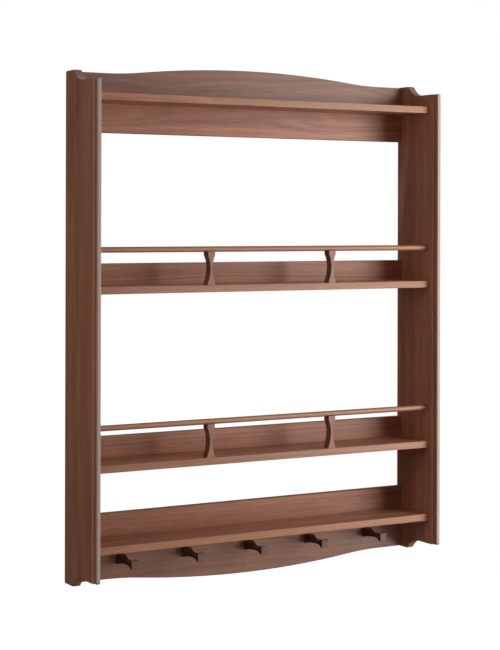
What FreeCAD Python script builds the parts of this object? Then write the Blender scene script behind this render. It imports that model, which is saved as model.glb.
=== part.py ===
"""Wall-hung wooden plate shelf: two moulded side panels, four shelves with back boards,
two gallery rails on waisted balusters, and five pegs under the bottom shelf.

The wall plane is y = 0, the shelf faces -Y, and z = 0 is the line of the two hanging keyholes.
"""
import FreeCAD, Part
import math
import os
import re
import Sketcher

# Driving dimensions in millimetres
SIZES = {
    # Side panels
    "overall_width": 904,
    "side_depth": 157,
    "side_thick": 19,
    "side_above": 29,
    "side_below": 55.5,
    "ear_depth": 43,
    "ear_rise": 24.5,
    "ear_round": 5,
    "outer_round": 3,
    "cove_run": 45.5,
    "front_round": 5,
    "nose_step": 4.7,
    "nose_depth": 14,
    "nose_round": 2.5,
    # Shelves, with the steps down from each underside to the next
    "shelf_thick": 16,
    "shelf_reach": 132,
    "upper_step": 415,
    "lower_step": 381,
    "bottom_step": 174,
    # Back boards
    "back_thick": 19,
    "rail_upstand": 47,
    "crest_drop": 64,
    "crest_upstand": 51.5,
    "board_drop": 78,
    "board_upstand": 51,
    "crown_rise": 21,
    "crown_flat": 72,
    "ogee_radius": 700,
    # Gallery rails and balusters
    "gallery_diameter": 12.6,
    "gallery_setback": 11,
    "gallery_height": 79,
    "socket_depth": 8,
    "baluster_spacing": 317,
    "baluster_head": 18.7,
    "baluster_foot": 20.6,
    "baluster_waist": 6.2,
    "baluster_depth": 20,
    "waist_height": 38.5,
    "head_block": 9,
    "foot_block": 2.5,
    "saddle_depth": 1.5,
    # Pegs
    "peg_margin": 106,
    "peg_below": 36,
    "peg_width": 17.6,
    "peg_root": 22,
    "peg_tip": 18.8,
    "peg_waist": 6.4,
    "peg_reach": 77,
    "peg_shoulder": 15,
    "peg_cove": 18,
    "peg_waist_reach": 54,
    "peg_block": 6,
    "tenon_diameter": 12,
    "tenon_length": 13,
    # Dowels, pins and screws
    "dowel_diameter": 8,
    "dowel_length": 30,
    "dowel_sink": 10,
    "shelf_dowel_margin": 26,
    "board_dowel_margin": 16,
    "pin_diameter": 5,
    "pin_length": 16,
    "screw_diameter": 4,
    "screw_length": 45,
    "screw_head_diameter": 8,
    "screw_head_depth": 2,
    "screw_spacing": 220,
    "screw_margin": 93,
    # Hanging keyholes
    "keyhole_spacing": 406.4,
    "keyhole_above": 35,
    "keyhole_entry": 9.5,
    "keyhole_slot": 5,
    "keyhole_run": 14,
    "keyhole_lip": 4,
    "keyhole_depth": 10,
    # Fits and edges
    "glue_gap": 0.05,
    "end_gap": 0.3,
    "edge_ease": 1,
}

# Heights and places that several pieces share, as sums of the sizes above
INNER = "(overall_width / 2 - side_thick)"
PEG_STEP = f"({INNER} - peg_margin) / 2"
GALLERY_BACK = "(gallery_setback - shelf_reach)"
SHELF_LEVEL = {
    "top": "(0 - keyhole_above)",
    "upper": "(0 - keyhole_above - upper_step)",
    "lower": "(0 - keyhole_above - upper_step - lower_step)",
    "bottom": "(0 - keyhole_above - upper_step - lower_step - bottom_step)",
}
BOARD_SPAN = {
    "bottom": (SHELF_LEVEL["bottom"] + " - board_drop",
               SHELF_LEVEL["bottom"] + " + shelf_thick + board_upstand"),
    "lower": (SHELF_LEVEL["lower"],
              SHELF_LEVEL["lower"] + " + shelf_thick + rail_upstand"),
    "upper": (SHELF_LEVEL["upper"],
              SHELF_LEVEL["upper"] + " + shelf_thick + rail_upstand"),
    "top": (SHELF_LEVEL["top"] + " - crest_drop",
            SHELF_LEVEL["top"] + " + shelf_thick + crest_upstand"),
}
PLATE_LEVELS = ("lower", "upper")
SIGNS = {"left": "-1", "right": "1"}
DOWEL_HOLE_RADIUS = "dowel_diameter / 2 + glue_gap"
DOWEL_REST = "(dowel_length - dowel_sink)"
COUNTERSINK_ANGLE = -45
PEG_NAMES = ("left_outer_peg", "left_inner_peg", "centre_peg", "right_inner_peg", "right_outer_peg")

doc = FreeCAD.newDocument("PlateShelf")
sheet = doc.addObject("Spreadsheet::Sheet", "Sizes")
for row, (alias, size) in enumerate(SIZES.items(), 1):
    sheet.set(f"A{row}", alias)
    sheet.set(f"B{row}", str(size))
    sheet.setAlias(f"B{row}", alias)
doc.recompute()
pieces = []


def formula(text):
    """Write a sum of size names as a sheet expression."""
    return re.sub(r"[a-z_]{3,}", lambda name: "Sizes." + name.group(), text)


def worth(text):
    """Work out a sum of size names."""
    return float(sheet.evalExpression(formula(text)))


def bind(item, prop, text):
    """Tie a property to a sum of size names."""
    item.setExpression(prop, formula(text))


def new_body(label, across="0", up="0"):
    """Start a piece, placed across and up from the frame's origin."""
    body = doc.addObject("PartDesign::Body", label)
    body.Label = label
    bind(body, "Placement.Base.x", across)
    bind(body, "Placement.Base.z", up)
    pieces.append(body)
    return body


def new_sketch(body, name, plane, offset="0"):
    """Start a sketch on one of the body's own planes, offset along its normal."""
    sketch = body.newObject("Sketcher::SketchObject", name)
    planes = {feature.Role: feature for feature in body.Origin.OriginFeatures}
    sketch.AttachmentSupport = [(planes[plane], "")]
    sketch.MapMode = "FlatFace"
    bind(sketch, "AttachmentOffset.Base.z", offset)
    return sketch


def fix(sketch, text, kind, *ends):
    """Add a constraint whose value follows a sum of size names."""
    number = sketch.addConstraint(Sketcher.Constraint(kind, *ends, worth(text)))
    bind(sketch, f"Constraints[{number}]", text)


def pin(sketch, curve, end, across, up):
    """Hold a point of a sketch at two signed distances from the sketch's origin."""
    fix(sketch, across, "DistanceX", -1, 1, curve, end)
    fix(sketch, up, "DistanceY", -1, 1, curve, end)


def arc_between(start, end, radius, side):
    """Short arc between two points that bulges to the left (1) or right (-1) of its way."""
    chord = end - start
    left = FreeCAD.Vector(-chord.y, chord.x, 0).normalize()
    sag = radius - math.sqrt(radius ** 2 - (chord.Length / 2) ** 2)
    return Part.Arc(start, (start + end) / 2 + left * (side * sag), end)


def outline(sketch, corners):
    """Draw a closed outline through corners. A corner is its place across and up,
    and an arc leaves it where a radius and the side of its bulge follow."""
    spots = [FreeCAD.Vector(worth(corner[0]), worth(corner[1]), 0) for corner in corners]
    curves = []
    for number, corner in enumerate(corners):
        start = spots[number]
        end = spots[(number + 1) % len(spots)]
        if len(corner) == 2:
            curves.append(sketch.addGeometry(Part.LineSegment(start, end)))
        else:
            arc = arc_between(start, end, worth(corner[2]), corner[3])
            curves.append(sketch.addGeometry(arc))
            fix(sketch, corner[2], "Radius", curves[-1])

    def end_at(curve, spot):
        """Number of the curve's end that lies at a spot."""
        return min((1, 2), key=lambda end: (sketch.getPoint(curve, end) - spot).Length)

    for number, corner in enumerate(corners):
        last, curve, spot = curves[number - 1], curves[number], spots[number]
        sketch.addConstraint(Sketcher.Constraint(
            "Coincident", last, end_at(last, spot), curve, end_at(curve, spot)))
        pin(sketch, curve, end_at(curve, spot), corner[0], corner[1])


def box_outline(sketch, low_across, high_across, low_up, high_up):
    """Draw a rectangle between two places across and two places up."""
    outline(sketch, [(low_across, low_up), (high_across, low_up),
                     (high_across, high_up), (low_across, high_up)])


def circles(sketch, radius, centres):
    """Draw equal circles at places across and up."""
    for across, up in centres:
        centre = FreeCAD.Vector(worth(across), worth(up), 0)
        curve = sketch.addGeometry(Part.Circle(centre, FreeCAD.Vector(0, 0, 1), worth(radius)))
        fix(sketch, radius, "Radius", curve)
        pin(sketch, curve, 3, across, up)


def pad(body, sketch, length, reverse=False, taper=0):
    """Build up a sketch along its normal, or against it where reversed."""
    feature = body.newObject("PartDesign::Pad", sketch.Name + "Pad")
    feature.Profile = sketch
    feature.Reversed = reverse
    feature.TaperAngle = taper
    bind(feature, "Length", length)
    doc.recompute()
    return feature


def pocket(body, sketch, depth, reverse=False, taper=0):
    """Cut a sketch against its normal, or along it where reversed."""
    before = body.Shape.Volume
    feature = body.newObject("PartDesign::Pocket", sketch.Name + "Cut")
    feature.Profile = sketch
    feature.Reversed = reverse
    feature.TaperAngle = taper
    bind(feature, "Length", depth)
    doc.recompute()
    if not body.Shape.Volume < before:
        raise ValueError(f"{feature.Label} of {body.Label} cuts nothing")
    return feature


def ease(body, name, radius, chosen):
    """Round the edges of a body that a test of an edge's box picks."""
    base = body.Tip
    names = [f"Edge{number}" for number, edge in enumerate(base.Shape.Edges, 1)
             if chosen(edge.BoundBox)]
    feature = body.newObject("PartDesign::Fillet", name)
    feature.Base = (base, names)
    bind(feature, "Radius", radius)
    doc.recompute()


def near(first, second):
    """Whether two lengths agree to a thousandth of a millimetre."""
    return abs(first - second) < 0.001


def tangent_arc(run, sink):
    """Radius of an arc that sinks by one length over a run of another and ends level."""
    return f"({run} * {run} + {sink} * {sink}) / (2 * {sink})"


def shelf_dowel_spots(level):
    """Places back and up of the two dowels in one end of a shelf."""
    up = SHELF_LEVEL[level] + " + shelf_thick / 2"
    return [("0 - back_thick - shelf_dowel_margin", up),
            ("0 - shelf_reach + shelf_dowel_margin", up)]


def board_dowel_spots(level):
    """Places back and up of the two dowels in one end of a back board."""
    low, high = BOARD_SPAN[level]
    return [("0 - back_thick / 2", low + " + board_dowel_margin"),
            ("0 - back_thick / 2", high + " - board_dowel_margin")]


def screw_spots(level):
    """Places across and up of the four screws into the rear edge of a shelf."""
    up = SHELF_LEVEL[level] + " + shelf_thick / 2"
    return [(f"{sign} * {reach}", up) for reach in ("screw_spacing / 2", f"({INNER} - screw_margin)")
            for sign in SIGNS.values()]


def gallery_spot(level):
    """Place back and up of a gallery rail's axis."""
    return (GALLERY_BACK, SHELF_LEVEL[level] + " + shelf_thick + gallery_height")


def end_holes(body, spots, depth, radius, name):
    """Bore holes into both ends of a board, from the planes where it meets the side panels."""
    for side, sign in SIGNS.items():
        sketch = new_sketch(body, f"{name}_{side}", "YZ_Plane", f"{sign} * {INNER}")
        circles(sketch, radius, spots)
        pocket(body, sketch, depth, reverse=side == "left")


def side_panel(side):
    """Side panel: eared outline, moulded front edge, and blind holes in its inner face."""
    sign = SIGNS[side]
    body = new_body(f"{side}_side_panel")
    front_top = SHELF_LEVEL["top"] + " + shelf_thick + side_above"
    front_foot = SHELF_LEVEL["bottom"] + " - side_below"
    ear_top = front_top + " + ear_rise"
    ear_foot = front_foot + " - ear_rise"
    cove_radius = tangent_arc("cove_run", "ear_rise")
    cove_end = "0 - ear_depth - cove_run"
    lowest_x = "0 - overall_width / 2" if side == "left" else INNER
    board = new_sketch(body, f"{side}_side_outline", "YZ_Plane", lowest_x)
    outline(board, [
        ("0", ear_foot),
        ("0", ear_top),
        ("0 - ear_depth", ear_top, cove_radius, 1),
        (cove_end, front_top),
        ("0 - side_depth", front_top),
        ("0 - side_depth", front_foot),
        (cove_end, front_foot, cove_radius, 1),
        ("0 - ear_depth", ear_foot),
    ])
    pad(body, board, "side_thick")

    front = -worth("side_depth")
    for part, depths in (("ear", (0, -worth("ear_depth"))), ("front", (front,))):
        ease(body, f"{side}_{part}_rounds", f"{part}_round",
             lambda box: box.XLength > 1 and any(near(box.YMin, depth) and near(box.YMax, depth)
                                                 for depth in depths))
    outer = f"{sign} * overall_width / 2"
    inner = f"{sign} * {INNER}"
    for face, across, radius in (("outer", outer, "outer_round"), ("inner", inner, "edge_ease")):
        level = worth(across)
        ease(body, f"{side}_{face}_edges", radius,
             lambda box: near(box.XMin, level) and near(box.XMax, level)
             and box.ZLength < 2 * worth("ear_rise") and box.YMax > front)

    # The moulded front edge is a nose left standing between two long rebates
    moulding = new_sketch(body, f"{side}_moulding", "XY_Plane", ear_foot)
    into_panel = f"{sign} * nose_step"
    for face, step in ((outer, f"{outer} - {into_panel}"), (inner, f"{inner} + {into_panel}")):
        low, high = sorted((face, step), key=worth)
        box_outline(moulding, low, high, "0 - side_depth", "0 - side_depth + nose_depth")
    pocket(body, moulding, f"{ear_top} - ({ear_foot})", reverse=True)
    nose_root = front + worth("nose_depth")
    ease(body, f"{side}_nose", "nose_round",
         lambda box: near(box.XLength, 0) and box.YMin < nose_root - worth("edge_ease"))

    dowels = new_sketch(body, f"{side}_dowel_holes", "YZ_Plane", inner)
    spots = [spot for level in SHELF_LEVEL for spot in shelf_dowel_spots(level) + board_dowel_spots(level)]
    circles(dowels, DOWEL_HOLE_RADIUS, spots)
    pocket(body, dowels, "dowel_sink + end_gap", reverse=side == "right")
    sockets = new_sketch(body, f"{side}_sockets", "YZ_Plane", inner)
    circles(sockets, "gallery_diameter / 2 + glue_gap", [gallery_spot(level) for level in PLATE_LEVELS])
    pocket(body, sockets, "socket_depth + end_gap", reverse=side == "right")


def shelf(label, level):
    """Shelf board, bored for its end dowels and for the screws from behind."""
    body = new_body(label)
    board = new_sketch(body, f"{label}_outline", "XY_Plane", SHELF_LEVEL[level])
    box_outline(board, f"0 - {INNER}", INNER, "0 - shelf_reach", "0 - back_thick")
    pad(body, board, "shelf_thick")
    front = -worth("shelf_reach")
    ease(body, f"{label}_front_edges", "edge_ease",
         lambda box: near(box.YMax, front) and near(box.ZLength, 0))
    end_holes(body, shelf_dowel_spots(level), f"{DOWEL_REST} + end_gap", DOWEL_HOLE_RADIUS, f"{label}_dowel")
    pilots = new_sketch(body, f"{label}_pilot_holes", "XZ_Plane", "back_thick")
    circles(pilots, "screw_diameter / 2 + glue_gap", screw_spots(level))
    pocket(body, pilots, "screw_length - back_thick + end_gap", reverse=True)
    return body


def back_board(label, level, corners):
    """Back board with the given outline, bored for its end dowels and its countersunk screws."""
    body = new_body(label)
    board = new_sketch(body, f"{label}_outline", "XZ_Plane")
    outline(board, corners)
    pad(body, board, "back_thick")
    ease(body, f"{label}_edges", "edge_ease",
         lambda box: near(box.YLength, 0) and box.XLength > box.ZLength)
    end_holes(body, board_dowel_spots(level), f"{DOWEL_REST} + end_gap", DOWEL_HOLE_RADIUS, f"{label}_dowel")
    shanks = new_sketch(body, f"{label}_screw_holes", "XZ_Plane")
    circles(shanks, "screw_diameter / 2 + glue_gap", screw_spots(level))
    pocket(body, shanks, "back_thick", reverse=True)
    heads = new_sketch(body, f"{label}_countersinks", "XZ_Plane")
    circles(heads, "screw_head_diameter / 2 + glue_gap", screw_spots(level))
    pocket(body, heads, "screw_head_depth", reverse=True, taper=COUNTERSINK_ANGLE)
    return body


def serpentine(edge, sign):
    """Corners from one end of a board to the other along an ogee crown, which leaves
    the level of the edge upwards (1) or downwards (-1)."""
    run = f"({INNER} - crown_flat)"
    both_radii = f"(({run} * {run} + crown_rise * crown_rise) / (2 * crown_rise))"
    crown_radius = f"({both_radii} - ogee_radius)"
    crown_part = f"{crown_radius} / {both_radii}"
    turn = f"{run} * {crown_part}"
    turn_level = f"{edge} + {sign} * crown_rise * (1 - {crown_part})"
    return [
        (f"0 - {sign} * (0 - {INNER})", edge),
        (f"{sign} * {run}", edge, "ogee_radius", 1),
        (f"{sign} * {turn}", turn_level, crown_radius, -1),
        (f"0 - {sign} * {turn}", turn_level, "ogee_radius", 1),
        (f"0 - {sign} * {run}", edge),
        (f"{sign} * (0 - {INNER})", edge),
    ]


def keyholes(body):
    """Rout the two hanging keyholes in the rear face: an entry hole, and above it
    a narrow slot that opens out behind a lip."""
    entry = "keyhole_entry / 2"
    for side, sign in SIGNS.items():
        middle = f"{sign} * keyhole_spacing / 2"
        hole = new_sketch(body, f"{side}_keyhole_entry", "XZ_Plane")
        circles(hole, entry, [(middle, "0")])
        pocket(body, hole, "keyhole_depth", reverse=True)
        for part, radius, start in (("slot", "keyhole_slot / 2", "0"), ("undercut", entry, "keyhole_lip")):
            sketch = new_sketch(body, f"{side}_keyhole_{part}", "XZ_Plane", start)
            outline(sketch, [
                (f"{middle} - {radius}", "0"),
                (f"{middle} + {radius}", "0"),
                (f"{middle} + {radius}", "keyhole_run", radius, -1),
                (middle, f"keyhole_run + {radius}", radius, -1),
                (f"{middle} - {radius}", "keyhole_run"),
            ])
            pocket(body, sketch, f"keyhole_depth - {start}", reverse=True)


def gallery_rail(level):
    """Round rail with its ends in the side panels' sockets and pin holes over its balusters."""
    body = new_body(f"{level}_gallery_rail", up=gallery_spot(level)[1])
    section = new_sketch(body, f"{level}_gallery_section", "YZ_Plane", f"0 - {INNER} - socket_depth")
    circles(section, "gallery_diameter / 2", [(GALLERY_BACK, "0")])
    pad(body, section, f"2 * ({INNER} + socket_depth)")
    pins = new_sketch(body, f"{level}_gallery_pin_holes", "XY_Plane",
                      "pin_length / 2 - gallery_diameter / 2 + end_gap")
    circles(pins, "pin_diameter / 2 + glue_gap",
            [(f"{sign} * baluster_spacing / 2", GALLERY_BACK) for sign in SIGNS.values()])
    pocket(body, pins, "gallery_diameter")


def baluster(level, side):
    """Waisted baluster with a saddle for the rail in its head and a pin hole in each end."""
    name = f"{level}_{side}_baluster"
    body = new_body(name, f"{SIGNS[side]} * baluster_spacing / 2", SHELF_LEVEL[level] + " + shelf_thick")
    head = "gallery_height - gallery_diameter / 2 + saddle_depth"
    shoulder = f"({head} - head_block)"
    head_arc = tangent_arc(f"({shoulder} - waist_height)", "((baluster_head - baluster_waist) / 2)")
    foot_arc = tangent_arc("(waist_height - foot_block)", "((baluster_foot - baluster_waist) / 2)")
    profile = new_sketch(body, f"{name}_profile", "XZ_Plane", f"0 - {GALLERY_BACK} - baluster_depth / 2")
    outline(profile, [
        ("0 - baluster_foot / 2", "0"),
        ("baluster_foot / 2", "0"),
        ("baluster_foot / 2", "foot_block", foot_arc, 1),
        ("baluster_waist / 2", "waist_height", head_arc, 1),
        ("baluster_head / 2", shoulder),
        ("baluster_head / 2", head),
        ("0 - baluster_head / 2", head),
        ("0 - baluster_head / 2", shoulder, head_arc, 1),
        ("0 - baluster_waist / 2", "waist_height", foot_arc, 1),
        ("0 - baluster_foot / 2", "foot_block"),
    ])
    pad(body, profile, "baluster_depth")
    ends = (0, worth(head))
    ease(body, f"{name}_edges", "edge_ease",
         lambda box: not any(near(box.ZMin, end) and near(box.ZMax, end) for end in ends))
    saddle = new_sketch(body, f"{name}_saddle", "YZ_Plane", "baluster_head / 2")
    circles(saddle, "gallery_diameter / 2 + glue_gap", [(GALLERY_BACK, "gallery_height")])
    pocket(body, saddle, "baluster_head")
    for end, level_up, reverse in (("foot", "0", True), ("head", head, False)):
        hole = new_sketch(body, f"{name}_{end}_pin_hole", "XY_Plane", level_up)
        circles(hole, "pin_diameter / 2 + glue_gap", [("0", GALLERY_BACK)])
        depth = "pin_length / 2 + end_gap" + (" + saddle_depth" if end == "head" else "")
        pocket(body, hole, depth, reverse=reverse)


def peg(name, place):
    """Peg with a notch scooped in its top, a long sweep under it, and a round tenon for the peg board."""
    body = new_body(name, f"{place} * {PEG_STEP}", SHELF_LEVEL["bottom"] + " - peg_below")
    shoulder_at = "0 - back_thick - peg_shoulder"
    waist_at = "0 - back_thick - peg_waist_reach"
    block_at = "0 - back_thick - peg_reach + peg_block"
    tip_at = "0 - back_thick - peg_reach"
    root_sink = "((peg_root - peg_waist) / 2)"
    notch_arc = tangent_arc("peg_cove", root_sink)
    root_arc = tangent_arc("peg_waist_reach", root_sink)
    tip_arc = tangent_arc("(peg_reach - peg_block - peg_waist_reach)", "((peg_tip - peg_waist) / 2)")
    profile = new_sketch(body, f"{name}_profile", "YZ_Plane", "0 - peg_width / 2")
    outline(profile, [
        ("0 - back_thick", "0 - peg_root / 2"),
        ("0 - back_thick", "peg_root / 2"),
        (shoulder_at, "peg_root / 2", notch_arc, 1),
        (f"{shoulder_at} - peg_cove", "peg_waist / 2"),
        (waist_at, "peg_waist / 2", tip_arc, 1),
        (block_at, "peg_tip / 2"),
        (tip_at, "peg_tip / 2"),
        (tip_at, "0 - peg_tip / 2"),
        (block_at, "0 - peg_tip / 2", tip_arc, 1),
        (waist_at, "0 - peg_waist / 2", root_arc, 1),
    ])
    pad(body, profile, "peg_width")
    root = -worth("back_thick")
    ease(body, f"{name}_edges", "edge_ease", lambda box: not near(box.YMin, root))
    tenon = new_sketch(body, f"{name}_tenon", "XZ_Plane", "back_thick")
    circles(tenon, "tenon_diameter / 2", [("0", "0")])
    pad(body, tenon, "tenon_length", reverse=True)


def dowel_group(label, spots):
    """Group of dowels that join boards to both side panels."""
    body = new_body(label)
    for side, sign in SIGNS.items():
        sketch = new_sketch(body, f"{label}_{side}", "YZ_Plane", f"{sign} * ({INNER} + dowel_sink)")
        circles(sketch, "dowel_diameter / 2", spots)
        pad(body, sketch, "dowel_length", reverse=side == "right")


# Side panels and shelves
side_panel("left")
side_panel("right")
shelf("top_shelf", "top")
shelf("bottom_shelf", "bottom")
for level in PLATE_LEVELS:
    plate_shelf = shelf(f"{level}_plate_shelf", level)
    shelf_top = SHELF_LEVEL[level] + " + shelf_thick"
    foot_holes = new_sketch(plate_shelf, f"{level}_foot_pin_holes", "XY_Plane", shelf_top)
    circles(foot_holes, "pin_diameter / 2 + glue_gap",
            [(f"{sign} * baluster_spacing / 2", GALLERY_BACK) for sign in SIGNS.values()])
    pocket(plate_shelf, foot_holes, "pin_length / 2 + end_gap")

# Back boards
crest_low, crest_high = BOARD_SPAN["top"]
crest_rail = back_board("crest_rail", "top", [
    (f"0 - {INNER}", crest_low), (INNER, crest_low)] + serpentine(crest_high, "1"))
keyholes(crest_rail)
board_low, board_high = BOARD_SPAN["bottom"]
peg_board = back_board("peg_board", "bottom", [
    (INNER, board_high), (f"0 - {INNER}", board_high)] + serpentine(board_low, "-1"))
tenon_holes = new_sketch(peg_board, "tenon_holes", "XZ_Plane", "back_thick")
circles(tenon_holes, "tenon_diameter / 2 + glue_gap",
        [(f"{place} * {PEG_STEP}", SHELF_LEVEL["bottom"] + " - peg_below")
         for place, _ in enumerate(PEG_NAMES, -2)])
pocket(peg_board, tenon_holes, "tenon_length + end_gap")
for level in PLATE_LEVELS:
    low, high = BOARD_SPAN[level]
    back_board(f"{level}_back_rail", level, [
        (f"0 - {INNER}", low), (INNER, low), (INNER, high), (f"0 - {INNER}", high)])

# Gallery rails, balusters and pegs
for level in PLATE_LEVELS:
    gallery_rail(level)
    for side in SIGNS:
        baluster(level, side)
for place, name in enumerate(PEG_NAMES, -2):
    peg(name, place)

# Dowels, pins and screws
dowel_group("shelf_dowels", [spot for level in SHELF_LEVEL for spot in shelf_dowel_spots(level)])
dowel_group("board_dowels", [spot for level in SHELF_LEVEL for spot in board_dowel_spots(level)])

pin_group = new_body("baluster_pins")
for level in PLATE_LEVELS:
    shelf_top = SHELF_LEVEL[level] + " + shelf_thick"
    rail_bottom = shelf_top + " + gallery_height - gallery_diameter / 2"
    for end, middle in (("foot", shelf_top), ("head", rail_bottom)):
        pins = new_sketch(pin_group, f"{level}_{end}_pins", "XY_Plane", f"{middle} - pin_length / 2")
        circles(pins, "pin_diameter / 2",
                [(f"{sign} * baluster_spacing / 2", GALLERY_BACK) for sign in SIGNS.values()])
        pad(pin_group, pins, "pin_length")

screws = new_body("shelf_screws")
all_screw_spots = [spot for level in SHELF_LEVEL for spot in screw_spots(level)]
screw_shanks = new_sketch(screws, "screw_shanks", "XZ_Plane")
circles(screw_shanks, "screw_diameter / 2", all_screw_spots)
pad(screws, screw_shanks, "screw_length")
screw_heads = new_sketch(screws, "screw_heads", "XZ_Plane")
circles(screw_heads, "screw_head_diameter / 2", all_screw_spots)
pad(screws, screw_heads, "screw_head_depth", taper=COUNTERSINK_ANGLE)

# Checks, then one file for each piece
doc.recompute()
for item in doc.Objects:
    if "Invalid" in item.State or "Error" in item.State:
        raise ValueError(f"{item.Label} did not compute")
os.makedirs("parts", exist_ok=True)
for piece in pieces:
    if piece.Shape.isNull() or not piece.Shape.isValid():
        raise ValueError(f"{piece.Label} has no valid shape")
    piece.Shape.exportStep(f"parts/{piece.Label}.step")
    print(piece.Label, len(piece.Shape.Solids), round(piece.Shape.Volume))
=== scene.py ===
"""Looks of a wall-hung plate shelf in stained walnut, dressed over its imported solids.

The frame is the part's own, in metres: the wall plane is y = 0, the shelf faces -Y and z = 0
is the line of the hanging keyholes.
"""
import math

import bpy
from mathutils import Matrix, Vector


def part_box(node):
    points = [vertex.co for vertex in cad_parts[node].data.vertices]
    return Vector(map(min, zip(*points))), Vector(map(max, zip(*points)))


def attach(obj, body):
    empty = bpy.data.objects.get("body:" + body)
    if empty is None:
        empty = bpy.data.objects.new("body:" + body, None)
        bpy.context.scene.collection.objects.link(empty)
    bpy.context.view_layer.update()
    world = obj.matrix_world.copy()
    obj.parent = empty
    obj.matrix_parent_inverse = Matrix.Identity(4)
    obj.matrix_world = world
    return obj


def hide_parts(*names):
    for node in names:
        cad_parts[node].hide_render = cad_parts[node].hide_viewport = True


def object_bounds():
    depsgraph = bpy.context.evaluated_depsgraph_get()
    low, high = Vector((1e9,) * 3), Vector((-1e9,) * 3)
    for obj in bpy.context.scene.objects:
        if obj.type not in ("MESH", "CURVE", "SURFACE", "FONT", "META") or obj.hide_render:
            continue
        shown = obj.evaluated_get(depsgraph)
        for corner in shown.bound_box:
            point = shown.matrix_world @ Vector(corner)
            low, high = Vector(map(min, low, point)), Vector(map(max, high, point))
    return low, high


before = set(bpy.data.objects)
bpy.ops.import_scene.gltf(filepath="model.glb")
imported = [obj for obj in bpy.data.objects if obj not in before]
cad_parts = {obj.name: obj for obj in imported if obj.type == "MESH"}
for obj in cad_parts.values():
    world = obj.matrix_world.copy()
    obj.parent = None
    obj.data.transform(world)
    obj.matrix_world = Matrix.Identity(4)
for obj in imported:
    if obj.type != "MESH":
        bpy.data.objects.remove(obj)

CAD_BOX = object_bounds()
MM = 0.001
QUARTER = math.radians(90)

# Camera, fitted to the photograph's edges
IMAGE_HEIGHT = 650
FOCAL_PIXELS = 1669.0
OPTICAL_CENTRE_ROW = 221.2
SENSOR_WIDTH = 36.0
CAMERA_PLACE = Vector((-1.9317, -3.3580, -0.2930))
CAMERA_TURN = math.radians(-30.1)
CAMERA_ROLL = math.radians(-0.15)

# Studio, in metres
FLOOR_DROP = 1.0
FLOOR_SIZE = 60.0
FLOOR_PAPER = "#D4D4D4"
# How white the floor is to the eye round the shadow and farther off, and how far off
FLOOR_WHITE = (0.75, 1.0)
SHADOW_REACH = (1.6, 2.8)
FLAG_BOX = (Vector((-1.6, -1.2, -1.7)), Vector((1.6, 1.6, 1.2)))
FLAG_VELVET = "#0A0A0A"
AMBIENT_LIGHT = 0.02
AIM = Vector((0.0, -0.08, -0.50))
# Softboxes: place, width and height in metres, and power in watts
SOFTBOXES = {
    "key_softbox": ((1.36, -1.52, -0.28), (0.8, 1.75), 27.4),
    "low_softbox": ((1.90, -1.20, -1.35), (0.9, 0.5), 10.0),
    "left_softbox": ((-2.10, -0.50, -0.15), (1.2, 1.1), 12.5),
    "top_softbox": ((0.20, -0.90, 1.90), (2.0, 2.0), 3.0),
    "back_softbox": ((0.60, 2.60, 0.40), (2.5, 2.0), 24.0),
}

# Grain of the walnut, in millimetres. Real fibres and pores are finer than the render shows,
# so they are drawn as coarse as they need to show.
RING_WIDTH = 5.0
RING_DRIFT = 42.0
STREAK_WIDTH = 26.0
STREAK_LENGTH = 700.0
DRIFT_WIDTH = 95.0
DRIFT_LENGTH = 520.0
HUE_WIDTH = DRIFT_WIDTH / 3
FIBRE_WIDTH = 1.4
FIBRE_LENGTH = 60.0
PORE_WIDTH = 1.0
PORE_LENGTH = 26.0
# How far apart along the log the planks are cut, how far off the pith lies, and how that sways
PLANK_STEP = 137.0
PITH_SWAY = 31.0
PITH_SWAY_TURN = 2.4
PITH_DEPTH = 74.0
PITH_DRIFT = 22.0
PITH_DRIFT_TURN = 1.7
# Shares of rings, streaks and fibres in the tone, and the span of tones that the colours cover
RING_SHARE = 0.34
STREAK_SHARE = 0.38
FIBRE_SHARE = 0.28
TONE_SPAN = (0.30, 0.70)
# Dark, light and middle tones of redder and of greyer wood, and where one passes into the other
TONE_STOPS = (0.0, 1.0, 0.5)
RED_WOOD = ("#874D34", "#C78360", "#AD6A49")
GREY_WOOD = ("#7F4E38", "#BD876A", "#A56C50")
HUE_SPAN = (0.38, 0.62)
# Where pores and end grain begin and where they are full, and how dark they are
PORE_SPAN = (0.60, 0.74)
PORE_DARKNESS = 0.72
END_SPAN = (0.55, 0.95)
END_DARKNESS = 0.80
# Satin lacquer, rougher over dark wood than over light, and the relief of the grain under it
LACQUER_ROUGHNESS = (0.46, 0.36)
LACQUER_SPECULAR = 0.45
FIBRE_HEIGHT = 0.25
RELIEF_DEPTH = 0.2
RELIEF_STRENGTH = 0.25

# Looks of single pieces, by the ends of their names, with levels and depths behind the front
# in millimetres. How light each piece is drawn: every board is from its own plank, and the pegs and
# balusters are darkened as painted shade, the right side panel lightened as painted light
LIGHTNESS_AND_PAINTED_SHADE = {
    "baluster": 0.50,
    "peg": 0.22,
    "left_side_panel": 0.92,
    "right_side_panel": 1.38,
    "crest_rail": 1.06,
    "peg_board": 0.94,
    "upper_back_rail": 1.06,
    "lower_back_rail": 1.06,
    "upper_plate_shelf": 1.04,
    "lower_plate_shelf": 0.86,
    "upper_gallery_rail": 0.95,
    "lower_gallery_rail": 0.85,
}
# Greyer tone: how far, and the levels where it is full and where it ends; on the crest rail that is above
# the top shelf.
# The side panels lie wholly below theirs, so they are greyer all over
GREYER = {
    "side_panel": (0.14, 500.0, 600.0),
    "peg_board": (0.24, -1010.0, -985.0),
    "crest_rail": (0.32, -15.0, -35.0),
}
GREYER_WOOD = "#806F68"
# A pin knot in a board's front: how far across, at which level, and its radius
PIN_KNOTS = {"peg_board": (-12.0, -1088.0, 4.0)}
KNOT_DARKNESS = 0.45
KNOT_CORE = 0.25
# Painted shade in the crease beside the nose of the side panels, darker towards the step: from and to which
# depth, and how dark
PAINTED_NOSE_SHADE = {"side_panel": (5.0, 13.9, 0.50)}
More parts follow.
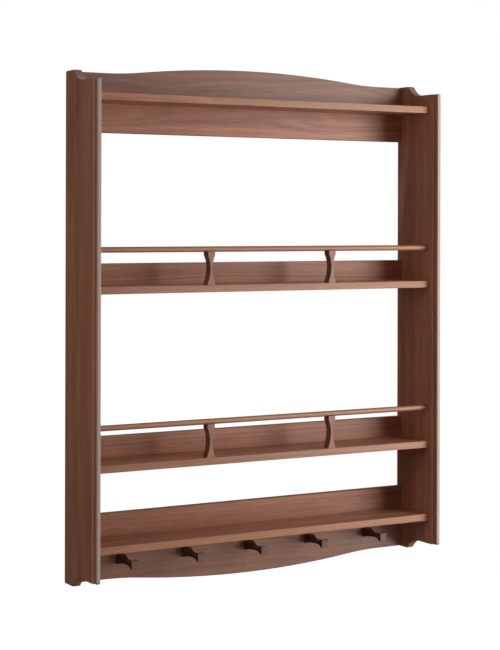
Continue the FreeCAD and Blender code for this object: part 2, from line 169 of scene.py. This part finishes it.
# Front faces painted paler as painted light, on the balusters, the peg tips and the side panels' step: how
# far, to which colour, and from and to which depth
PAINTED_LIGHT_FACES = {
    "baluster": (0.38, "#CB9579", -1.0, 30.0),
    "peg": (0.20, "#CB9579", -1.0, 80.0),
    "side_panel": (0.95, "#F0C4A4", 10.0, 20.0),
}
# Slants at which a face counts wholly as a front, and no longer
FRONT_SLANTS = (-0.9, -0.5)
# Front edges painted paler in the same way, as painted highlight and sheen: to which depth, how far, and to
# which colour
PAINTED_SHEEN_EDGES = {
    "left_side_panel": (3.0, 0.74, "#D3BCAE"),
    "right_side_panel": (3.0, 0.62, "#D3BCAE"),
    "shelf": (4.0, 0.16, "#E6AE84"),
    "gallery_rail": (5.0, 0.34, "#EAB28C"),
}

# Beech: length and width of its flecks in millimetres, a little coarser than real ones, and its colours
FLECK_LENGTH = 8.0
FLECK_WIDTH = 0.8
BEECH_STOPS = ((0.35, "#D9B48C"), (0.70, "#B98A60"))
BEECH_ROUGHNESS = 0.65
# Zinc plate: width of its clouds in millimetres, its greys, and its roughness from cloud to cloud
CLOUD_WIDTH = 2.0
ZINC_STOPS = ((0.3, "#A9ADB0"), (0.7, "#C9CCCC"))
ZINC_ROUGHNESS = (0.25, 0.45)

# Screws, in millimetres, with half the distances across between their pairs
SCREW_PLACES = (110.0, 340.0)
SCREW_LENGTH = 45.0
SCREW_HEAD = 8.0
SCREW_HEAD_DEPTH = 2.0
SCREW_NECK = 10.0
SCREW_CORE = 1.5
SCREW_POINT = 4.0
SCREW_TIP = 0.1
THREAD_PITCH = 1.8
THREAD_DEPTH = 0.45
RECESS_WIDTH = 0.9
RECESS_SPAN = 4.2
RECESS_DEPTH = 1.3
# Sides of the round head, of the shank and point, and of the thread's edge
HEAD_SIDES = 32
SHANK_SIDES = 20
EDGE_SIDES = 3


def linear(hex_colour):
    """Turn an sRGB hex colour into linear red, green, blue and alpha."""
    channels = [int(hex_colour[start:start + 2], 16) / 255 for start in (1, 3, 5)]
    return [c / 12.92 if c <= 0.04045 else ((c + 0.055) / 1.055) ** 2.4 for c in channels] + [1.0]


def add_node(tree, kind, settings=None, links=None, stops=None):
    """Add a node, set its properties and sockets by name, and link sources to its inputs.
    Stops are the places and colours of a colour ramp."""
    node = tree.nodes.new(kind)
    for name, value in (settings or {}).items():
        if isinstance(name, str) and hasattr(node, name):
            setattr(node, name, value)
        else:
            node.inputs[name].default_value = value
    for name, source in (links or {}).items():
        tree.links.new(source, node.inputs[name])
    for number, (place, colour) in enumerate(stops or ()):
        ramp = node.color_ramp.elements
        element = ramp[number] if number < 2 else ramp.new(place)
        element.position = place
        element.color = linear(colour)
    return node


def new_tree(name, kind, inputs, outputs):
    """Start a node group with named sockets and return it with its two end nodes."""
    tree = bpy.data.node_groups.new(name, kind)
    for way, sockets in (("INPUT", inputs), ("OUTPUT", outputs)):
        for label, socket_kind in sockets:
            tree.interface.new_socket(label, in_out=way, socket_type=socket_kind)
    return tree, tree.nodes.new("NodeGroupInput"), tree.nodes.new("NodeGroupOutput")


def new_material(name):
    """Start an empty material and return it with its node tree."""
    material = bpy.data.materials.new(name)
    material.use_nodes = True
    material.node_tree.nodes.clear()
    return material, material.node_tree


def looks_of(table, name):
    """Entries of a table for the piece of this name."""
    return [entry for ending, entry in table.items() if name.endswith(ending)]


def walnut_figure():
    """Figure of plain-sawn walnut, in millimetres with the grain along X and the pith on that axis.

    Growth rings wander round the pith, so a flat face cuts them into stripes and cathedrals.
    Broad streaks of greyer and redder wood run with the grain, over fine fibres and open pores.
    """
    tree, given, result = new_tree(
        "walnut_figure", "ShaderNodeTree",
        [("Place", "NodeSocketVector"), ("End", "NodeSocketFloat")],
        [("Colour", "NodeSocketColor"), ("Roughness", "NodeSocketFloat"), ("Height", "NodeSocketFloat")])
    place = given.outputs["Place"]

    def stretched(length, width, detail):
        """Noise whose spots have a length along the grain and a width across it."""
        scaled = add_node(tree, "ShaderNodeVectorMath",
                          {"operation": "MULTIPLY", 1: (1 / length, 1 / width, 1 / width)}, {0: place})
        noise = add_node(tree, "ShaderNodeTexNoise", {"Scale": 1.0, "Detail": detail},
                         {"Vector": scaled.outputs[0]})
        return noise.outputs["Fac"]

    drift = stretched(DRIFT_LENGTH, DRIFT_WIDTH, 1.0)
    streak = stretched(STREAK_LENGTH, STREAK_WIDTH, 2.0)
    hue = stretched(DRIFT_LENGTH, HUE_WIDTH, 1.0)
    fibre = stretched(FIBRE_LENGTH, FIBRE_WIDTH, 1.0)
    pore = stretched(PORE_LENGTH, PORE_WIDTH, 0.0)

    flat = add_node(tree, "ShaderNodeVectorMath", {"operation": "MULTIPLY", 1: (0, 1, 1)}, {0: place})
    radius = add_node(tree, "ShaderNodeVectorMath", {"operation": "LENGTH"}, {0: flat.outputs[0]})
    wandered = add_node(tree, "ShaderNodeMath", {"operation": "MULTIPLY_ADD", 1: RING_DRIFT},
                        {0: drift, 2: radius.outputs["Value"]})
    ring_count = add_node(tree, "ShaderNodeMath", {"operation": "DIVIDE", 1: RING_WIDTH},
                          {0: wandered.outputs[0]})
    ring = add_node(tree, "ShaderNodeTexNoise", {"noise_dimensions": "1D", "Scale": 1.0, "Detail": 2.0},
                    {"W": ring_count.outputs[0]})

    rings_in = add_node(tree, "ShaderNodeMath", {"operation": "MULTIPLY", 1: RING_SHARE},
                        {0: ring.outputs["Fac"]})
    streaks_in = add_node(tree, "ShaderNodeMath", {"operation": "MULTIPLY_ADD", 1: STREAK_SHARE},
                          {0: streak, 2: rings_in.outputs[0]})
    tone = add_node(tree, "ShaderNodeMath", {"operation": "MULTIPLY_ADD", 1: FIBRE_SHARE},
                    {0: fibre, 2: streaks_in.outputs[0]})
    spread = add_node(tree, "ShaderNodeMapRange", {"From Min": TONE_SPAN[0], "From Max": TONE_SPAN[1]},
                      {"Value": tone.outputs[0]})
    red, grey = [add_node(tree, "ShaderNodeValToRGB", {}, {"Fac": spread.outputs[0]}, zip(TONE_STOPS, wood))
                 for wood in (RED_WOOD, GREY_WOOD)]
    hue_share = add_node(tree, "ShaderNodeMapRange", {"From Min": HUE_SPAN[0], "From Max": HUE_SPAN[1]},
                         {"Value": hue})
    mixed = add_node(tree, "ShaderNodeMix", {"data_type": "RGBA"},
                     {"Factor": hue_share.outputs[0], 6: red.outputs["Color"], 7: grey.outputs["Color"]})
    pore_share = add_node(tree, "ShaderNodeMapRange",
                          {"From Min": PORE_SPAN[0], "From Max": PORE_SPAN[1],
                           "To Min": 1.0, "To Max": PORE_DARKNESS}, {"Value": pore})
    end_share = add_node(tree, "ShaderNodeMapRange",
                         {"From Min": END_SPAN[0], "From Max": END_SPAN[1],
                          "To Min": 1.0, "To Max": END_DARKNESS}, {"Value": given.outputs["End"]})
    colour = mixed.outputs[2]
    for share in (pore_share, end_share):
        darker = add_node(tree, "ShaderNodeVectorMath", {"operation": "SCALE"},
                          {0: colour, "Scale": share.outputs[0]})
        colour = darker.outputs[0]
    rough = add_node(tree, "ShaderNodeMapRange",
                     {"To Min": LACQUER_ROUGHNESS[0], "To Max": LACQUER_ROUGHNESS[1]},
                     {"Value": tone.outputs[0]})
    height = add_node(tree, "ShaderNodeMath", {"operation": "MULTIPLY_ADD", 1: FIBRE_HEIGHT},
                      {0: fibre, 2: pore_share.outputs[0]})
    for label, source in (("Colour", colour), ("Roughness", rough.outputs[0]),
                          ("Height", height.outputs[0])):
        tree.links.new(source, result.inputs[label])
    return tree


def stain_and_shade(tree, name, colour, where, front):
    """Colour of a piece under the stain: its plank's own lightness with painted shade on some pieces,
    greyer tone, a pin knot, and painted shade in the crease beside a nose."""
    spot = add_node(tree, "ShaderNodeSeparateXYZ", {}, {0: where})
    depth = spot.outputs["Y"]
    # Each piece's own lightness, which on the pegs and balusters is painted shade and on the right side
    # panel painted light
    for share in looks_of(LIGHTNESS_AND_PAINTED_SHADE, name):
        darker = add_node(tree, "ShaderNodeVectorMath", {"operation": "SCALE", "Scale": share},
                          {0: colour})
        colour = darker.outputs[0]
    for share, full, none in looks_of(GREYER, name):
        band = add_node(tree, "ShaderNodeMapRange",
                        {"From Min": none * MM, "From Max": full * MM, "To Max": share},
                        {"Value": spot.outputs["Z"]})
        greyer = add_node(tree, "ShaderNodeMix", {"data_type": "RGBA", 7: linear(GREYER_WOOD)},
                          {"Factor": band.outputs[0], 6: colour})
        colour = greyer.outputs[2]
    for across, level, radius in looks_of(PIN_KNOTS, name):
        away = add_node(tree, "ShaderNodeVectorMath",
                        {"operation": "DISTANCE", 1: (across * MM, front, level * MM)}, {0: where})
        ringed = add_node(tree, "ShaderNodeMapRange",
                          {"From Min": KNOT_CORE * radius * MM, "From Max": radius * MM,
                           "To Min": KNOT_DARKNESS, "To Max": 1.0}, {"Value": away.outputs["Value"]})
        knotted = add_node(tree, "ShaderNodeVectorMath", {"operation": "SCALE"},
                           {0: colour, "Scale": ringed.outputs[0]})
        colour = knotted.outputs[0]
    # Painted shade in the crease beside the nose
    for start, stop, share in looks_of(PAINTED_NOSE_SHADE, name):
        deeper = add_node(tree, "ShaderNodeMapRange",
                          {"From Min": front + start * MM, "From Max": front + stop * MM,
                           "To Min": 1.0, "To Max": share}, {"Value": depth})
        inside = add_node(tree, "ShaderNodeMath", {"operation": "LESS_THAN", 1: front + stop * MM},
                          {0: depth})
        nose_shade = add_node(tree, "ShaderNodeMapRange", {"To Min": 1.0},
                          {"Value": inside.outputs[0], "To Max": deeper.outputs[0]})
        darker = add_node(tree, "ShaderNodeVectorMath", {"operation": "SCALE"},
                          {0: colour, "Scale": nose_shade.outputs[0]})
        colour = darker.outputs[0]
    return colour


def painted_front_light(tree, name, colour, where, normal, front):
    """Colour of a piece after its front faces and front edges are painted paler, as painted light and
    painted sheen.
    """
    spot = add_node(tree, "ShaderNodeSeparateXYZ", {}, {0: where})
    slant = add_node(tree, "ShaderNodeSeparateXYZ", {}, {0: normal})
    depth = spot.outputs["Y"]
    # Painted light on front faces
    for share, pale, start, stop in looks_of(PAINTED_LIGHT_FACES, name):
        fronts = add_node(tree, "ShaderNodeMapRange",
                          {"From Min": FRONT_SLANTS[0], "From Max": FRONT_SLANTS[1],
                           "To Min": share, "To Max": 0.0}, {"Value": slant.outputs["Y"]})
        within = add_node(tree, "ShaderNodeMath",
                          {"operation": "COMPARE", 1: front + (start + stop) / 2 * MM,
                           2: (stop - start) / 2 * MM}, {0: depth})
        both = add_node(tree, "ShaderNodeMath", {"operation": "MULTIPLY"},
                        {0: fronts.outputs[0], 1: within.outputs[0]})
        paler = add_node(tree, "ShaderNodeMix", {"data_type": "RGBA", 7: linear(pale)},
                         {"Factor": both.outputs[0], 6: colour})
        colour = paler.outputs[2]
    # Painted highlight and sheen on front edges
    for reach, share, pale in looks_of(PAINTED_SHEEN_EDGES, name):
        edge = add_node(tree, "ShaderNodeMapRange",
                        {"From Min": front, "From Max": front + reach * MM,
                         "To Min": share, "To Max": 0.0}, {"Value": depth})
        paler = add_node(tree, "ShaderNodeMix", {"data_type": "RGBA", 7: linear(pale)},
                         {"Factor": edge.outputs[0], 6: colour})
        colour = paler.outputs[2]
    return colour


# Turns that bring a board's grain to X, its width to Y and its thickness to Z
GRAIN_TURN = {
    "shelf": (0, 0, 0),
    "back board": (-QUARTER, 0, 0),
    "upright": (0, QUARTER, 0),
    "peg": (0, 0, -QUARTER),
}
FIGURE = walnut_figure()


def stained_walnut(name, cut, number):
    """Walnut under brown stain and a wiped satin lacquer: a soft sheen over warm, streaky wood,
    with front faces and edges painted paler as painted light and painted sheen."""
    material, tree = new_material(f"stained_walnut_{name}")
    turn = GRAIN_TURN[cut]
    shift = (PLANK_STEP * number, PITH_SWAY * math.sin(PITH_SWAY_TURN * number),
             PITH_DEPTH + PITH_DRIFT * math.cos(PITH_DRIFT_TURN * number))
    where = add_node(tree, "ShaderNodeTexCoord").outputs["Object"]
    normal = add_node(tree, "ShaderNodeNewGeometry").outputs["Normal"]
    place = add_node(tree, "ShaderNodeMapping",
                     {"Rotation": turn, "Location": shift, "Scale": (1 / MM, 1 / MM, 1 / MM)},
                     {"Vector": where})
    facing = add_node(tree, "ShaderNodeMapping", {"Rotation": turn}, {"Vector": normal})
    parts = add_node(tree, "ShaderNodeSeparateXYZ", {}, {0: facing.outputs[0]})
    end = add_node(tree, "ShaderNodeMath", {"operation": "ABSOLUTE"}, {0: parts.outputs["X"]})
    figure = add_node(tree, "ShaderNodeGroup", {"node_tree": FIGURE},
                      {"Place": place.outputs[0], "End": end.outputs[0]})
    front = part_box(name)[0].y
    colour = stain_and_shade(tree, name, figure.outputs["Colour"], where, front)
    # Front faces and edges painted paler: painted light and painted sheen
    colour = painted_front_light(tree, name, colour, where, normal, front)
    bump = add_node(tree, "ShaderNodeBump", {"Strength": RELIEF_STRENGTH, "Distance": RELIEF_DEPTH * MM},
                    {"Height": figure.outputs["Height"]})
    shader = add_node(tree, "ShaderNodeBsdfPrincipled", {"Specular IOR Level": LACQUER_SPECULAR},
                      {"Base Color": colour, "Roughness": figure.outputs["Roughness"],
                       "Normal": bump.outputs[0]})
    add_node(tree, "ShaderNodeOutputMaterial", {}, {"Surface": shader.outputs[0]})
    return material


def plain_beech():
    """Beech dowels straight from the lathe: pale, dry wood with short dark flecks."""
    material, tree = new_material("plain_beech")
    where = add_node(tree, "ShaderNodeTexCoord")
    across = 1 / (FLECK_WIDTH * MM)
    place = add_node(tree, "ShaderNodeMapping", {"Scale": (1 / (FLECK_LENGTH * MM), across, across)},
                     {"Vector": where.outputs["Object"]})
    fleck = add_node(tree, "ShaderNodeTexNoise", {"Scale": 1.0, "Detail": 1.0},
                     {"Vector": place.outputs[0]})
    colour = add_node(tree, "ShaderNodeValToRGB", {}, {"Fac": fleck.outputs["Fac"]}, BEECH_STOPS)
    shader = add_node(tree, "ShaderNodeBsdfPrincipled", {"Roughness": BEECH_ROUGHNESS},
                      {"Base Color": colour.outputs["Color"]})
    add_node(tree, "ShaderNodeOutputMaterial", {}, {"Surface": shader.outputs[0]})
    return material


def zinc_steel():
    """Bright zinc plate on steel screws: a cool grey metal, clouded where the plating is thicker."""
    material, tree = new_material("zinc_plated_steel")
    where = add_node(tree, "ShaderNodeTexCoord")
    cloud = add_node(tree, "ShaderNodeTexNoise", {"Scale": 1 / (CLOUD_WIDTH * MM), "Detail": 2.0},
                     {"Vector": where.outputs["Object"]})
    colour = add_node(tree, "ShaderNodeValToRGB", {}, {"Fac": cloud.outputs["Fac"]}, ZINC_STOPS)
    rough = add_node(tree, "ShaderNodeMapRange",
                     {"To Min": ZINC_ROUGHNESS[0], "To Max": ZINC_ROUGHNESS[1]},
                     {"Value": cloud.outputs["Fac"]})
    shader = add_node(tree, "ShaderNodeBsdfPrincipled", {"Metallic": 1.0},
                      {"Base Color": colour.outputs["Color"], "Roughness": rough.outputs[0]})
    add_node(tree, "ShaderNodeOutputMaterial", {}, {"Surface": shader.outputs[0]})
    return material


# How each piece was cut from its plank, by the end of its name
CUTS = {
    "side_panel": "upright",
    "crest_rail": "back board",
    "back_rail": "back board",
    "peg_board": "back board",
    "shelf": "shelf",
    "gallery_rail": "shelf",
    "baluster": "upright",
    "peg": "peg",
}

walnut_nodes = [name for name in sorted(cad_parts)
                if not name.endswith(("dowels", "pins", "screws"))]
for number, name in enumerate(walnut_nodes, 1):
    cut = looks_of(CUTS, name)[0]
    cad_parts[name].material_slots[0].material = stained_walnut(name, cut, number)
beech = plain_beech()
for name in ("shelf_dowels", "board_dowels", "baluster_pins"):
    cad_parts[name].material_slots[0].material = beech


def countersunk_screws():
    """Screws from behind into the rear edges of the shelves: countersunk heads with a crossed recess,
    a plain neck, a coiled thread and a point."""
    shank_length = SCREW_LENGTH - SCREW_HEAD_DEPTH - SCREW_POINT
    thread_length = shank_length - SCREW_NECK
    sizes = {
        "Head Radius": SCREW_HEAD / 2 * MM,
        "Head Depth": SCREW_HEAD_DEPTH * MM,
        "Recess Width": RECESS_WIDTH * MM,
        "Recess Span": RECESS_SPAN * MM,
        "Recess Cutter": 2 * RECESS_DEPTH * MM,
        "Core Radius": SCREW_CORE * MM,
        "Shank Length": shank_length * MM,
        "Point Length": SCREW_POINT * MM,
        "Tip Radius": SCREW_TIP * MM,
        "Thread Length": thread_length * MM,
        "Thread Depth": THREAD_DEPTH * MM,
        "Turns": thread_length / THREAD_PITCH,
    }
    tree, given, result = new_tree(
        "countersunk_screw", "GeometryNodeTree",
        [("Places", "NodeSocketGeometry"), ("Metal", "NodeSocketMaterial")]
        + [(label, "NodeSocketFloat") for label in sizes],
        [("Screws", "NodeSocketGeometry")])
    size = given.outputs

    def placed(node, height):
        """Geometry of a node, moved along the screw."""
        return add_node(tree, "GeometryNodeTransform", {"Translation": (0, 0, height * MM)},
                        {"Geometry": node.outputs[0]}).outputs[0]

    head = add_node(tree, "GeometryNodeMeshCone", {"Vertices": HEAD_SIDES},
                    {"Radius Top": size["Head Radius"], "Radius Bottom": size["Core Radius"],
                     "Depth": size["Head Depth"]})
    recess = add_node(tree, "GeometryNodeMeshBoolean", {"operation": "DIFFERENCE", "solver": "EXACT"},
                      {0: placed(head, -SCREW_HEAD_DEPTH)})
    for width, height in (("Recess Width", "Recess Span"), ("Recess Span", "Recess Width")):
        cutter = add_node(tree, "ShaderNodeCombineXYZ", {},
                          {"X": size[width], "Y": size[height], "Z": size["Recess Cutter"]})
        wing = add_node(tree, "GeometryNodeMeshCube", {}, {"Size": cutter.outputs[0]})
        tree.links.new(wing.outputs[0], recess.inputs[1])
    shank = add_node(tree, "GeometryNodeMeshCylinder", {"Vertices": SHANK_SIDES},
                     {"Radius": size["Core Radius"], "Depth": size["Shank Length"]})
    point = add_node(tree, "GeometryNodeMeshCone", {"Vertices": SHANK_SIDES},
                     {"Radius Top": size["Core Radius"], "Radius Bottom": size["Tip Radius"],
                      "Depth": size["Point Length"]})
    coil = add_node(tree, "GeometryNodeCurveSpiral", {"Resolution": SHANK_SIDES},
                    {"Start Radius": size["Core Radius"], "End Radius": size["Core Radius"],
                     "Height": size["Thread Length"], "Rotations": size["Turns"]})
    edge = add_node(tree, "GeometryNodeCurvePrimitiveCircle", {"Resolution": EDGE_SIDES},
                    {"Radius": size["Thread Depth"]})
    thread = add_node(tree, "GeometryNodeCurveToMesh", {"Fill Caps": True},
                      {"Curve": coil.outputs[0], "Profile Curve": edge.outputs[0]})
    screw = add_node(tree, "GeometryNodeJoinGeometry")
    for part in (recess.outputs[0], placed(shank, -SCREW_HEAD_DEPTH - shank_length / 2),
                 placed(point, -SCREW_LENGTH), placed(thread, SCREW_POINT - SCREW_LENGTH)):
        tree.links.new(part, screw.inputs[0])
    spread = add_node(tree, "GeometryNodeInstanceOnPoints", {"Rotation": (-QUARTER, 0, 0)},
                      {"Points": given.outputs["Places"], "Instance": screw.outputs[0]})
    solid = add_node(tree, "GeometryNodeRealizeInstances", {}, {0: spread.outputs[0]})
    plated = add_node(tree, "GeometryNodeSetMaterial", {},
                      {"Geometry": solid.outputs[0], "Material": given.outputs["Metal"]})
    tree.links.new(plated.outputs[0], result.inputs[0])

    places = []
    for shelf_name in ("top_shelf", "upper_plate_shelf", "lower_plate_shelf", "bottom_shelf"):
        low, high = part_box(shelf_name)
        places += [(side * across * MM, 0.0, (low.z + high.z) / 2)
                   for across in SCREW_PLACES for side in (-1, 1)]
    mesh = bpy.data.meshes.new("screw_places")
    mesh.from_pydata(places, [], [])
    screws = bpy.data.objects.new("countersunk_screws", mesh)
    bpy.context.scene.collection.objects.link(screws)
    spreader = screws.modifiers.new("screws", "NODES")
    spreader.node_group = tree
    values = {"Metal": zinc_steel(), **sizes}
    for socket in tree.interface.items_tree:
        if socket.name in values:
            spreader[socket.identifier] = values[socket.name]
    ready = screws.evaluated_get(bpy.context.evaluated_depsgraph_get())
    screws.data = bpy.data.meshes.new_from_object(ready)
    screws.modifiers.clear()
    screws.data.name = "countersunk_screws"
    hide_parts("shelf_screws")
    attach(screws, "root")


countersunk_screws()


def white_to_the_eye(tree, high, low):
    """Strength for rays from the camera, a reflection or a clear piece, and another for the rest."""
    path = add_node(tree, "ShaderNodeLightPath")
    first = add_node(tree, "ShaderNodeMath", {"operation": "MAXIMUM"},
                     {0: path.outputs["Is Camera Ray"], 1: path.outputs["Is Glossy Ray"]})
    every = add_node(tree, "ShaderNodeMath", {"operation": "MAXIMUM"},
                     {0: first.outputs[0], 1: path.outputs["Is Transmission Ray"]})
    strength = add_node(tree, "ShaderNodeMapRange", {"To Min": low, "To Max": high},
                        {"Value": every.outputs[0]})
    return strength.outputs[0]


def studio_piece(name, corners, faces, material):
    """Plain flat piece of the studio."""
    mesh = bpy.data.meshes.new(name)
    mesh.from_pydata(corners, [], faces)
    mesh.materials.append(material)
    piece = bpy.data.objects.new(name, mesh)
    bpy.context.scene.collection.objects.link(piece)
    return piece


def studio_floor():
    """Wide pale floor under the shelf, with the shelf's shadow on it, white to the eye farther off."""
    material, tree = new_material("white_paper")
    where = add_node(tree, "ShaderNodeTexCoord")
    level = add_node(tree, "ShaderNodeVectorMath", {"operation": "MULTIPLY", 1: (1, 1, 0)},
                     {0: where.outputs["Object"]})
    away = add_node(tree, "ShaderNodeVectorMath", {"operation": "LENGTH"}, {0: level.outputs[0]})
    white = add_node(tree, "ShaderNodeMapRange",
                     {"interpolation_type": "SMOOTHSTEP",
                      "From Min": SHADOW_REACH[0], "From Max": SHADOW_REACH[1],
                      "To Min": FLOOR_WHITE[0], "To Max": FLOOR_WHITE[1]}, {"Value": away.outputs["Value"]})
    seen = add_node(tree, "ShaderNodeMath", {"operation": "MULTIPLY"},
                    {0: white.outputs[0], 1: white_to_the_eye(tree, 1.0, 0.0)})
    paper = add_node(tree, "ShaderNodeBsdfDiffuse", {"Color": linear(FLOOR_PAPER)})
    glow = add_node(tree, "ShaderNodeEmission", {}, {"Strength": seen.outputs[0]})
    both = add_node(tree, "ShaderNodeAddShader", {}, {0: paper.outputs[0], 1: glow.outputs[0]})
    add_node(tree, "ShaderNodeOutputMaterial", {}, {"Surface": both.outputs[0]})
    low = CAD_BOX[0].z - FLOOR_DROP
    half = FLOOR_SIZE / 2
    corners = [(-half, -half, low), (half, -half, low), (half, half, low), (-half, half, low)]
    floor = studio_piece("studio_floor", corners, [(0, 1, 2, 3)], material)


def black_flags():
    """Black cards behind, beside and below the shelf, which only its satin sheen can see.
    They keep the white surroundings from veiling the wood at a slant."""
    material, tree = new_material("black_velvet")
    velvet = add_node(tree, "ShaderNodeBsdfDiffuse", {"Color": linear(FLAG_VELVET)})
    add_node(tree, "ShaderNodeOutputMaterial", {}, {"Surface": velvet.outputs[0]})
    low, high = FLAG_BOX
    corners = [(x, y, z) for x in (low.x, high.x) for y in (low.y, high.y) for z in (low.z, high.z)]
    left, right, back, under = (0, 1, 3, 2), (4, 6, 7, 5), (2, 3, 7, 6), (0, 2, 6, 4)
    flags = studio_piece("black_flags", corners, [left, right, back, under], material)
    for ray in ("camera", "diffuse", "transmission", "volume_scatter", "shadow"):
        setattr(flags, f"visible_{ray}", False)


def studio_light():
    """White surroundings, a tall softbox to the right of the shelf with a small one low beside it,
    and others to the left, above and behind."""
    world = bpy.data.worlds.new("white_studio")
    bpy.context.scene.world = world
    world.use_nodes = True
    tree = world.node_tree
    tree.nodes.clear()
    sky = add_node(tree, "ShaderNodeBackground", {"Color": linear("#FFFFFF")},
                   {"Strength": white_to_the_eye(tree, 1.0, AMBIENT_LIGHT)})
    add_node(tree, "ShaderNodeOutputWorld", {}, {"Surface": sky.outputs[0]})
    for name, (place, size, power) in SOFTBOXES.items():
        lamp = bpy.data.lights.new(name, "AREA")
        lamp.shape = "RECTANGLE"
        lamp.size, lamp.size_y = size
        lamp.energy = power
        softbox = bpy.data.objects.new(name, lamp)
        softbox.location = place
        softbox.rotation_euler = (AIM - Vector(place)).to_track_quat("-Z", "Y").to_euler()
        bpy.context.scene.collection.objects.link(softbox)


def studio_camera():
    """Camera at the photograph's place, level, with the lens shifted down as the photograph's was."""
    data = bpy.data.cameras.new("camera")
    data.sensor_width = SENSOR_WIDTH
    data.lens = FOCAL_PIXELS / IMAGE_HEIGHT * SENSOR_WIDTH
    data.shift_y = (OPTICAL_CENTRE_ROW - IMAGE_HEIGHT / 2) / IMAGE_HEIGHT
    camera = bpy.data.objects.new("camera", data)
    camera.location = CAMERA_PLACE
    camera.rotation_euler = (QUARTER, CAMERA_ROLL, CAMERA_TURN)
    bpy.context.scene.collection.objects.link(camera)
    bpy.context.scene.camera = camera


studio_floor()
black_flags()
studio_light()
studio_camera()
bpy.context.scene.view_settings.view_transform = "Standard"
